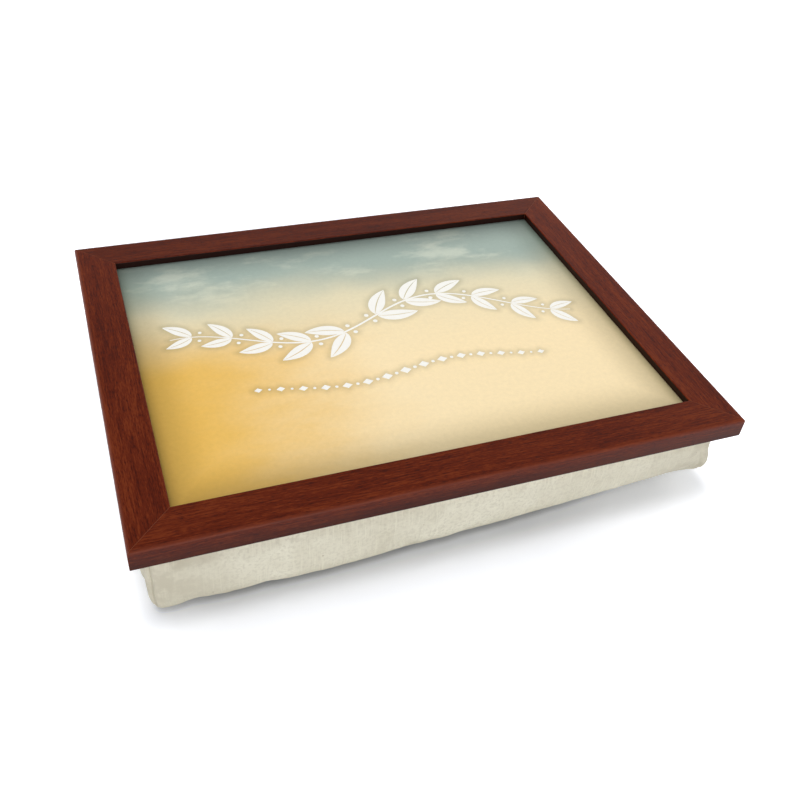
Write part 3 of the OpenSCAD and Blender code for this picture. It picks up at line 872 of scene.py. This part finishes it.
# Where the bottom edge lifts a little off the floor: place, half width, lift
frontLifts = [(-0.182, 0.010, 2.6 * mm), (-0.139, 0.010, 2.0 * mm)]
# The seam colour and the handled colour also serve as painted shade along seams, creases and towards the
# corners
calico = dict(body=(0.845, 0.803, 0.650), shade=(0.735, 0.688, 0.541), thread=(0.800, 0.755, 0.603),
              seam=(0.540, 0.488, 0.356), handledAndShaded=(0.570, 0.520, 0.395), husk=(0.30, 0.20, 0.10),
              threadPitch=0.62 * mm, endShadeReach=80 * mm, seamReach=5 * mm, unevenness=0.18 * mm)
# The gap colour is painted shade between the beads
beads = dict(perMetre=300.0, gap=(0.62, 0.62, 0.60), crown=(0.93, 0.93, 0.91), unevenness=1.2 * mm)


def calicoFinish():
    # Plain weave with uneven threads, clouded by handling, creased by pressing and flecked with husk; painted
    # shade darkens the seams, the creases and the upright corners
    finish, tree, shader = newFinish("calicoCloth")
    flat, place = ownMap(tree), ownPlace(tree)
    warp = noise(tree, scaled(tree, flat, (820, 30, 1)), detail=3)
    weft = noise(tree, scaled(tree, flat, (70, 950, 1)), detail=3)
    threads = weighted(tree, (warp, 0.75), (weft, 0.25))
    parts = addNode(tree, "SeparateXYZ", {0: flat}).outputs
    weave = times(tree, *(waves(tree, parts[k], calico["threadPitch"]) for k in (0, 1)))
    cloud = noise(tree, place, 22, detail=4, roughness=0.55)
    blotch = noise(tree, place, 75, detail=3, roughness=0.6)
    mottle = noise(tree, place, 400, detail=1, roughness=0.5)
    tone = weighted(tree, (cloud, 0.45), (blotch, 0.25), (mottle, 0.30))
    colour = blendColour(tree, between(tree, tone, 0.42, 0.59), calico["shade"], calico["body"])
    colour = tinted(tree, between(tree, mottle, 0.38, 0.68), 0.55, colour, calico["handledAndShaded"])
    colour = blendColour(tree, between(tree, threads, 0.50, 0.66), colour, calico["thread"])
    colour = tinted(tree, between(tree, weave, 0.1, -0.9), 0.35, colour, calico["handledAndShaded"])
    # Painted shade with some soiling: darker and browner along the seams, and in patches towards the upright
    # corners, where the ends turn from the light
    wearAndPaintedLight = between(tree, fromMesh(tree, "seamGap"), calico["seamReach"], 0.0)
    colour = tinted(tree, wearAndPaintedLight, 0.45, colour, calico["seam"])
    patchyShade = plus(tree, 0.44, times(tree, between(tree, blotch, 0.43, 0.60), 0.56))
    handledAndShaded = between(tree, fromMesh(tree, "cornerGap"), calico["endShadeReach"], 0.0)
    colour = tinted(tree, handledAndShaded, patchyShade, colour, calico["handledAndShaded"])
    # Faint pressed creases that wander up the cloth, darkened in colour as painted shade and raised a little
    # in the relief
    drift = noise(tree, scaled(tree, flat, (26, 4, 1)), detail=1)
    strong = between(tree, noise(tree, scaled(tree, flat, (9, 13, 1)), detail=1), 0.48, 0.62)
    crease = calc(tree, "ABSOLUTE", calc(tree, "SUBTRACT", drift, 0.5))
    crease = times(tree, between(tree, crease, 0.016, 0.0), strong)
    colour = tinted(tree, crease, 0.22, colour, calico["seam"])
    # Flecks of seed husk left in the cotton
    cells = addNode(tree, "TexVoronoi", {"Vector": scaled(tree, flat, (150, 110, 1)), "Scale": 1.0})
    chance = between(tree, noise(tree, place, 48, detail=1), 0.55, 0.58)
    fleck = times(tree, between(tree, cells.outputs["Distance"], 0.11, 0.04), chance)
    paint(tree, shader, tinted(tree, fleck, 0.7, colour, calico["husk"]))
    setSockets(shader, {"Roughness": 0.85, "Specular IOR Level": 0.2,
                        "Sheen Weight": 0.12, "Sheen Roughness": 0.5})
    height = weighted(tree, (weave, 0.5), (threads, 0.35), (blotch, 1.6), (crease, 1.2), (mottle, 1.6))
    relief(tree, shader, height, calico["unevenness"], 0.65)
    return finish


def beadFinish():
    # Round beads, pale in the middle and grey in the gaps between them as painted shade
    finish, tree, shader = newFinish("polystyreneBeads")
    inputs = {"Vector": ownPlace(tree), "Scale": beads["perMetre"], "Randomness": 0.7}
    dome = between(tree, addNode(tree, "TexVoronoi", inputs).outputs["Distance"], 0.65, 0.0)
    paint(tree, shader, blendColour(tree, dome, beads["gap"], beads["crown"]))
    setSockets(shader, {"Roughness": 0.6})
    relief(tree, shader, dome, beads["unevenness"], 0.9)
    return finish


def roofOver(inset):
    # The height to which frame, strips and panel press the bag
    roof = bagHeight + (stripLevel - bagHeight) * rise(inset, bag["underRail"], bag["flatFrom"])
    near, far = (bag["flatTo"] + reach for reach in bag["roomSpan"])
    return roof + bag["headroom"] * rise(inset, near, far)


def sewnMoves(base, normals, gap, front, fromEnd):
    # Moves along the normals: bell curves of the distance to a seam or fold, and waves for the puckers;
    # with them the distance to the nearest seam, the slack corner's own included
    dip = -sewing["crease"] * np.exp(-(gap / sewing["creaseWide"]) ** 2)
    dip += sewing["pillow"] * np.exp(-((gap - sewing["pillowAt"]) / sewing["pillowWide"]) ** 2)
    fading = np.exp(-gap / sewing["puckerReach"])
    dip += sewing["pucker"] * fading * ripple(base, sewing["puckerLength"], seed=3)
    dip += sewing["soft"] * rise(gap, 0, sewing["softFrom"]) * ripple(base, sewing["softLength"], seed=5)
    inner = rise(gap, *sewing["foldSpan"])
    for place, lean, strength in frontFolds:
        away = base[:, 0] - place - lean * (base[:, 2] - bagHeight / 2)
        fold = sewing["fold"] * np.exp(-(away / sewing["foldWide"]) ** 2)
        fold -= sewing["foldDip"] * np.exp(-((away - sewing["dipAt"]) / sewing["dipWide"]) ** 2)
        dip += strength * front * inner * fold
    groove = np.exp(-((fromEnd - lobeSeam["place"]) / lobeSeam["wide"]) ** 2)
    groove *= rise(gap, 0, lobeSeam["ease"]) * rise(bagHeight - base[:, 2], *lobeSeam["span"])
    dip += lobeSeam["bulge"] * np.exp(-(fromEnd / lobeSeam["wide"]) ** 2) - lobeSeam["deep"] * groove
    # The groove's line takes the seams' painted shade through this distance
    toGroove = (abs(fromEnd - lobeSeam["place"]) + lobeSeam["line"]) / np.maximum(groove, 1e-3) ** 0.5
    return normals * dip[:, None], np.minimum(gap, toGroove)


def pressed(shaped, base):
    # The bottom edge lifts in places, then floor, frame and panel press what passes them
    low = np.clip(1 - base[:, 2] / sewing["liftReach"], 0, 1) * rise(-base[:, 1] / bagHalf[1], 0.8, 1.0)
    for place, wide, lift in frontLifts:
        shaped[:, 2] += lift * low * np.exp(-((base[:, 0] - place) / wide) ** 2)
    inset = insetOf(base[:, :2])
    roof = roofOver(inset)
    under = rise(inset, bag["underRail"], bag["flatFrom"])
    under = under * (1 - rise(inset, bag["flatTo"], bag["flatTo"] + bag["pressEase"]))
    level = np.minimum(shaped[:, 2], roof)
    level += (roof - level) * bag["pressed"] * under
    shaped[:, 2] = np.where(base[:, 2] > bagHeight / 2, level, np.maximum(shaped[:, 2], 0))
    return shaped


def makeCover(numbers, moved):
    # Six panels: the fine bag takes the coarse one's moves, then its seams, folds and pressed places
    # Which of the bag's axes run up and along each panel
    reading = [(2, 0), (2, 1), (2, 0), (2, 1), (1, 0), (1, 0)]
    fine, places, gaps = bagPanels(bag["fine"], bag["squeeze"])
    shares = [graded(count, bag["squeeze"]) for count in bag["fine"]]
    base, fineNumbers, fineQuads = weld(fine)
    shift, gap, front = np.zeros_like(base), *np.zeros((2, len(base)))
    fromEnd, cornerGap = np.ones((2, len(base)))
    for k, number in enumerate(fineNumbers):
        rows, columns = (cubicShares(shares[a], bag["coarse"][a]) for a in reading[k])
        shift[number] = np.einsum("ik,klc,jl->ijc", rows, moved[numbers[k]], columns)
        gap[number] = gaps[k]
        front[number] = panelNames[k] == "Front"
        walked = places[k][..., 0]
        if panelNames[k] == "Front":
            fromEnd[number] = 2 * bagHalf[0] - walked
        if k < 4:
            cornerGap[number] = np.minimum(walked, walked.max() - walked)
    normals = normalsOf(base + shift, fineQuads)
    moves, gap = sewnMoves(base, normals, gap, front, fromEnd)
    shaped = pressed(base + shift + moves, base)
    finish = calicoFinish()
    for k, number in enumerate(fineNumbers):
        quads = panelGrid(k, number.shape)
        cloth = places[k].reshape(-1, 2)[quads.ravel()] + (0.0, bag["mapStep"] * k)
        kind = "Panel" if k > 3 else "Band"
        panel = makePiece("bag" + panelNames[k] + kind, shaped[number], quads, finish, cloth,
                          {"seamGap": gap[number], "cornerGap": cornerGap[number]}, sharp=180)
        wall = panel.modifiers.new("thickness", "SOLIDIFY")
        wall.thickness, wall.offset = bag["clothThick"], -1
        settle(panel, "bag", "calico", f"bag_{panelNames[k].lower()}_{kind.lower()}")


def makeFill(points, quads, inset):
    # The beads fill the cover to just inside its cloth
    inside = points - normalsOf(points, quads) * bag["fillInset"]
    cover = bag["clothThick"] + bag["fillGap"]
    inside[:, 2] = np.clip(inside[:, 2], cover, roofOver(inset) - cover)
    fill = makePiece("beadFill", inside, quads, beadFinish(), sharp=180)
    settle(fill, "bag", "beads", "bead_fill")


def makeBag():
    # A coarse bag goes through the cloth solver; cover and fill both follow its moves
    coarse, _, gaps = bagPanels(bag["coarse"], 0.0)
    points, numbers, quads = weld(coarse)
    gap = np.zeros(len(points))
    for number, value in zip(numbers, gaps):
        gap[number] = value
    inset = insetOf(points[:, :2])
    moved = swollen(points, quads, gap, inset)
    makeCover(numbers, moved)
    makeFill(points + moved, quads, inset)


makeBag()
print("bag is sewn and filled")


# Hook-and-loop strips, stitches and fixings

tape = dict(base=0.5 * mm, edge=0.18 * mm, support=0.04 * mm, step=4 * mm, rib=0.9 * mm,
            hookPitch=1.75 * mm, hookThick=0.14 * mm, hookReach=0.42 * mm, hookTall=0.74 * mm,
            hookMargin=1.8 * mm, hookJitter=0.1 * mm, hookRoot=0.03 * mm,
            loopPitch=1.3 * mm, loopThick=0.09 * mm, loopRound=0.62 * mm,
            loopMargin=3.6 * mm, loopJitter=0.3 * mm, loopRoot=0.05 * mm,
            stitch=2.9 * mm, stitchTall=0.30 * mm, stitchRoot=0.12 * mm, stitchPitch=3.9 * mm,
            stitchInset=2.0 * mm, threadThick=0.26 * mm,
            staple=(6.0 * mm, 1.6 * mm), stapleEnd=18 * mm,
            weaveUnevenness=0.1 * mm, nylonUnevenness=0.04 * mm)
# The tape's woven base is darker than its pile and hooks: painted shade for the pile's own shadow
tapeTone = dict(low=(0.45, 0.435, 0.385), high=(0.68, 0.66, 0.60), pile=(0.86, 0.85, 0.80),
                hook=(0.84, 0.83, 0.78), thread=(0.74, 0.70, 0.58))


def wovenTapeFinish():
    # Ribs across the tape, crossed by a finer weave; a little darker in the hollows and darker than the pile
    # overall, as painted shade
    finish, tree, shader = newFinish("wovenTape")
    flat = ownMap(tree)
    parts = addNode(tree, "SeparateXYZ", {0: flat}).outputs
    ribs = waves(tree, parts[0], tape["rib"])
    cross = waves(tree, parts[1], 0.7 * tape["rib"])
    height = weighted(tree, (ribs, 0.5), (cross, 0.3))
    fibres = noise(tree, scaled(tree, flat, (500, 500, 1)), detail=3)
    tone = plus(tree, times(tree, height, 0.3), fibres)
    paint(tree, shader, blendColour(tree, between(tree, tone, 0.2, 0.8), tapeTone["low"], tapeTone["high"]))
    setSockets(shader, {"Roughness": 0.6})
    relief(tree, shader, plus(tree, height, fibres), tape["weaveUnevenness"], 0.6)
    return finish


def threadFinish(name, colour, roughness, sheen):
    # Thread, drawn or spun: a slight unevenness in tone and surface
    finish, tree, shader = newFinish(name)
    place = ownPlace(tree)
    tone = between(tree, noise(tree, place, 350, detail=3), 0.35, 0.65)
    paler, darker = (tuple(min(1.0, share * channel) for channel in colour) for share in (1.08, 0.82))
    paint(tree, shader, blendColour(tree, tone, darker, paler))
    setSockets(shader, {"Roughness": roughness, "Sheen Weight": sheen})
    relief(tree, shader, noise(tree, place, 2600, detail=2), tape["nylonUnevenness"], 0.4)
    return finish


def tapeBase(side, half, wide, inward, level):
    # A thin ribbon with rounded edges along the strip, and its own coordinates
    corners = [(inward, 0), (inward + wide, 0), (inward + wide, tape["base"]), (inward, tape["base"])]
    outline = roundedOutline(corners, [tape["edge"]] * 4, steps=3, support=tape["support"])[::-1]
    count = int(half * 2 / tape["step"]) + 1
    along = np.broadcast_to(np.linspace(-half, half, count)[:, None], (count, len(outline)))
    sections = np.broadcast_to(outline, (count, len(outline), 2))[::-1]
    points, faces = carried(side, sections, along, level)
    place = np.stack([along, sections[:, :, 0]], -1).reshape(-1, 2)
    return points, faces, place[np.concatenate([np.ravel(face) for face in faces])]


def hookShape():
    # A stem that leaves the tape, bends over and turns back towards it
    turn = np.linspace(0, 1, 6)
    x = tape["hookReach"] * rise(turn, 0.25, 1.0)
    z = -tape["hookTall"] * np.sin(turn * 2.05)
    return tube(np.stack([x, 0 * x, z], -1), tape["hookThick"] * (1.15 - 0.45 * turn), sides=4)


def loopShape():
    # A low arch of thread with both feet in the tape
    turn = np.linspace(0, math.pi, 7)
    path = tape["loopRound"] * np.stack([-np.cos(turn), 0 * turn, np.sin(turn)], -1)
    return tube(path, tape["loopThick"], sides=3)


def stitchShape():
    # A short thread that rises from the cloth and dips back into it
    turn = np.linspace(0, 1, 7)
    arch = np.sin(math.pi * turn)
    z = tape["stitchTall"] * arch ** 0.7 - tape["stitchRoot"]
    path = np.stack([tape["stitch"] * (turn - 0.5), 0 * turn, z], -1)
    return tube(path, tape["threadThick"] * (0.55 + 0.45 * arch), sides=6)


def triangles(faces):
    # Drops the spare corner of each face of a tube's ends
    return [face[:3] if face[2] == face[3] else face for face in np.asarray(faces).tolist()]


def spots(half, wide, pitch, margin, dice, jitter):
    # Rows of places, each a little off its grid point
    along = np.arange(-half + margin, half - margin + 1e-6, pitch)
    across = np.arange(margin, wide - margin + 1e-6, pitch)
    grid = np.stack(np.meshgrid(along, across), -1).reshape(-1, 2)
    return grid + dice.uniform(-jitter, jitter, grid.shape)


def clearOfStaples(grid, side, half, wide):
    # The places that no staple's crown lies on: three staples in a long strip, two in a short one
    long, across = tape["staple"]
    crowns = np.array([tape["stapleEnd"] - half, half - tape["stapleEnd"]] + [0.0] * (side % 2 == 0))
    beside = abs(grid[:, :1] - crowns).min(1) > long
    return grid[beside | (abs(grid[:, 1] - wide / 2) > across)]


def makeStrips():
    # On every side a hook strip under the panel and a loop strip on the bag, each a tape with its pile
    dice = np.random.default_rng(29)
    weave = wovenTapeFinish()
    nylon = {"hook": threadFinish("hookNylon", tapeTone["hook"], roughness=0.4, sheen=0.0),
             "loop": threadFinish("brushedNylon", tapeTone["pile"], roughness=0.8, sheen=0.3)}
    cotton = threadFinish("sewingCotton", tapeTone["thread"], roughness=0.75, sheen=0.1)
    shapes = {"hook": hookShape(), "loop": loopShape()}
    for side, name in enumerate(sideNames):
        for kind, body in (("hook", "tray"), ("loop", "bag")):
            node = f"{kind}_strip_{name.lower()}"
            low, high = (np.array(corner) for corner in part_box(node))
            outer = (low if side in (0, 3) else high)[1 - side % 2]
            inward = (frameHigh - frameLow)[1 - side % 2] / 2 - abs(outer)
            half, wide = (high - low)[side % 2] / 2, (high - low)[1 - side % 2]
            level = low[2] if kind == "loop" else high[2] - tape["base"]
            points, faces, cornerUv = tapeBase(side, half, wide, inward, level)
            strip = makePiece(f"{kind}Tape{name}", points, faces, weave, cornerUv)
            settle(strip, body, kind + "_tape", node)
            grid = spots(half, wide, tape[kind + "Pitch"], tape[kind + "Margin"], dice, tape[kind + "Jitter"])
            if kind == "loop":
                turns = dice.uniform(0, math.pi, len(grid))
                root = level + tape["base"] - tape["loopRoot"]
            else:
                grid = clearOfStaples(grid, side, half, wide)
                turns = np.where(dice.random(len(grid)) < 0.5, 0, math.pi) + dice.normal(0, 0.15, len(grid))
                root = level + tape["hookRoot"]
            places = onSide(side, grid[:, 0], inward + grid[:, 1], root)
            points, faces = repeated(*shapes[kind], places, turns + side * math.pi / 2)
            pile = makePiece(f"{kind}Pile{name}", points, triangles(faces), nylon[kind], sharp=180)
            settle(pile, body, kind + "_tape")
            if kind == "loop":
                makeStitches(side, half, wide, inward, level + tape["base"], cotton)


def makeStitches(side, half, wide, inward, level, cotton):
    # One row along each edge of the tape, joined by a short row across each end
    inset, pitch = tape["stitchInset"], tape["stitchPitch"]
    long = np.arange(-half + inset + pitch / 2, half - inset, pitch)
    short = np.arange(inset + pitch / 2, wide - inset, pitch)
    rows = [(long, np.full(len(long), across), 0.0) for across in (inset, wide - inset)]
    rows += [(np.full(len(short), along), short, math.pi / 2) for along in (-half + inset, half - inset)]
    along, across = (np.concatenate([row[k] for row in rows]) for k in (0, 1))
    turns = np.concatenate([np.full(len(row[0]), row[2]) for row in rows])
    places = onSide(side, along, inward + across, level)
    points, faces = repeated(*stitchShape(), places, turns + side * math.pi / 2)
    stitches = makePiece(f"loopStitches{sideNames[side]}", points, triangles(faces), cotton, sharp=180)
    settle(stitches, "bag", "loop_tape")


wedge = dict(leg=5 * mm, thick=0.6 * mm, tall=7 * mm, shares=(0.28, 0.62), proud=0.08 * mm, bend=1.1 * mm,
             ground=1 * mm, tip=0.05 * mm)
zinc = dict(dull=(0.52, 0.53, 0.54), bright=(0.70, 0.71, 0.72), gloss=0.28, cloudy=0.22,
            unevenness=0.03 * mm)


def zincFinish():
    # Zinc-plated steel: cloudy grey with fine draw lines and duller patches
    finish, tree, shader = newFinish("zincSteel")
    place = ownPlace(tree)
    cloud = noise(tree, place, 180, detail=4, roughness=0.6)
    lines = noise(tree, scaled(tree, place, (300, 300, 4000)), detail=2)
    colour = blendColour(tree, between(tree, cloud, 0.35, 0.65), zinc["dull"], zinc["bright"])
    paint(tree, shader, colour, plus(tree, zinc["gloss"], times(tree, cloud, zinc["cloudy"])))
    setSockets(shader, {"Metallic": 1.0})
    relief(tree, shader, lines, zinc["unevenness"], 0.4)
    return finish


def makeWedges(finish):
    # A strip bent round a small radius, its far edge ground thin, twice in every corner
    reach, half, bend = wedge["leg"], wedge["thick"] / 2, wedge["bend"]
    turn = np.linspace(math.pi, 1.5 * math.pi, 7)
    arc = bend + bend * np.stack([np.cos(turn), np.sin(turn)], -1)
    line = np.concatenate([[(0.0, reach - half)], arc, [(reach - half, 0.0)]]) + half
    heading = np.gradient(line, axis=0)
    square = np.stack([-heading[:, 1], heading[:, 0]], -1) / np.linalg.norm(heading, axis=1, keepdims=True)
    bottom = frameLow[2] - wedge["proud"]
    top = bottom + wedge["tall"]
    rings = []
    for level, wide in ((bottom, half), (top - wedge["ground"], half), (top, wedge["tip"])):
        ring = np.concatenate([line + square * wide, (line - square * wide)[::-1]])
        rings.append(np.concatenate([ring, np.full((len(ring), 1), level)], -1))
    shape, count = np.concatenate(rings), len(rings[0])
    caps = [list(range(count)), list(range(3 * count - 1, 2 * count - 1, -1))]
    quads = gridQuads(3, count, wrap=True)[:, ::-1].tolist() + caps
    points, faces, wall = [], [], railWidth - moulding["lip"]
    for mirrorX in (1, -1):
        for mirrorY in (1, -1):
            for share in wedge["shares"]:
                start = len(points) * len(shape)
                place = (share * wall + frameLow[0], share * wall + frameLow[1], 0)
                points.append((shape + place) * (mirrorX, mirrorY, 1))
                turned = quads if mirrorX * mirrorY > 0 else [face[::-1] for face in quads]
                faces += [[corner + start for corner in face] for face in turned]
    wedges = makePiece("cornerWedges", np.concatenate(points), faces, finish)
    settle(wedges, "tray", "fixings", "corner_wedges")


board = dict(dark=(0.22, 0.125, 0.055), light=(0.47, 0.32, 0.17), stain=(0.33, 0.20, 0.09),
             unevenness=0.1 * mm)
backing = dict(dull=(0.66, 0.635, 0.57), light=(0.71, 0.685, 0.62), speck=(0.50, 0.46, 0.38),
               unevenness=0.05 * mm)


def boardFinish():
    # Pressed wood fibre: short pale and dark fibres in a brown ground
    finish, tree, shader = newFinish("pressedFibre")
    place = ownPlace(tree)
    first = noise(tree, scaled(tree, place, (300, 1500, 1500)), detail=3, roughness=0.6)
    second = noise(tree, scaled(tree, place, (1500, 300, 1500), (0.2, 0.4, 0)), detail=3, roughness=0.6)
    mix = weighted(tree, (first, 0.5), (second, 0.5))
    colour = blendColour(tree, between(tree, mix, 0.38, 0.62), board["dark"], board["light"])
    paint(tree, shader, tinted(tree, noise(tree, place, 40, detail=3), 0.3, colour, board["stain"]))
    setSockets(shader, {"Roughness": 0.85})
    relief(tree, shader, mix, board["unevenness"], 0.5)
    return finish


def backingFinish():
    # Plain off-white laminate with a pebbled face
    finish, tree, shader = newFinish("plainLaminate")
    place = ownPlace(tree)
    cloud = between(tree, noise(tree, place, 14, detail=4), 0.35, 0.65)
    pebble = noise(tree, place, 1300, detail=2)
    colour = blendColour(tree, cloud, backing["dull"], backing["light"])
    paint(tree, shader, tinted(tree, between(tree, pebble, 0.60, 0.68), 0.25, colour, backing["speck"]))
    setSockets(shader, {"Roughness": 0.48})
    relief(tree, shader, pebble, backing["unevenness"], 0.5)
    return finish


def dress(node, finish):
    # Gives a node that stays as it is its finish
    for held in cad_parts[node].material_slots:
        held.material = finish


makeStrips()
zincSteel = zincFinish()
makeWedges(zincSteel)
dress("frame_points", zincSteel)
dress("strip_staples", zincSteel)
dress("core_board", boardFinish())
dress("backing_laminate", backingFinish())
print("strips are sewn and the fixings are in")

bpy.context.view_layer.update()
